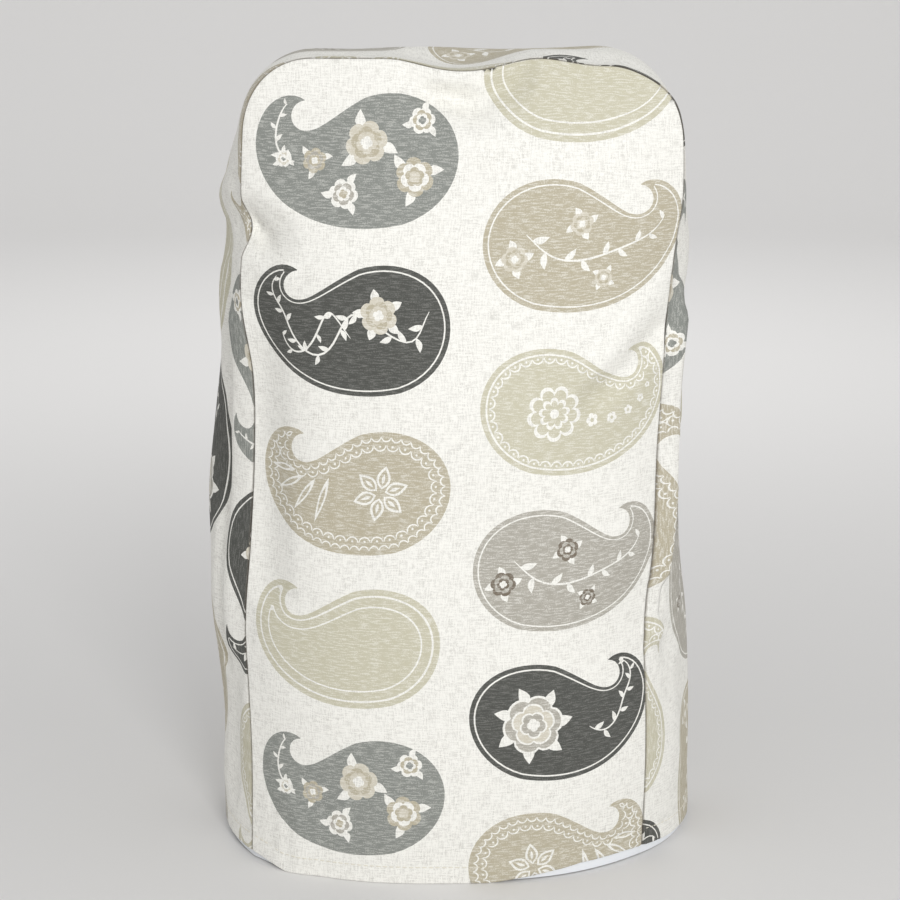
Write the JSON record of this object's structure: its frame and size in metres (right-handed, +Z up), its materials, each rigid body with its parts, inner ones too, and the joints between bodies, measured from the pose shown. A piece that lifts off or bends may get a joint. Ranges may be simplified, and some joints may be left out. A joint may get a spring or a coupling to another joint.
{
  "type": "blender cover",
  "caption": "Lined cloth cover for a countertop blender: two round-shouldered panels and one gusset, open at the hem, standing on it.",
  "frame": {"origin": "middle of the floor under the cover, at the height of the hem it stands on", "axes": "+Z up, the front panel faces -Y, the gusset's two sides face -X and +X"},
  "size_m": [0.2522, 0.2036, 0.4028],
  "materials": {
    "printed_cotton": "matte",
    "white_lining": "matte"
  },
  "bodies": {
    "root": {"front_panel": "printed_cotton", "back_panel": "printed_cotton", "gusset": "printed_cotton", "lining_front": "white_lining", "lining_back": "white_lining", "lining_gusset": "white_lining"}
  },
  "joints": []
}
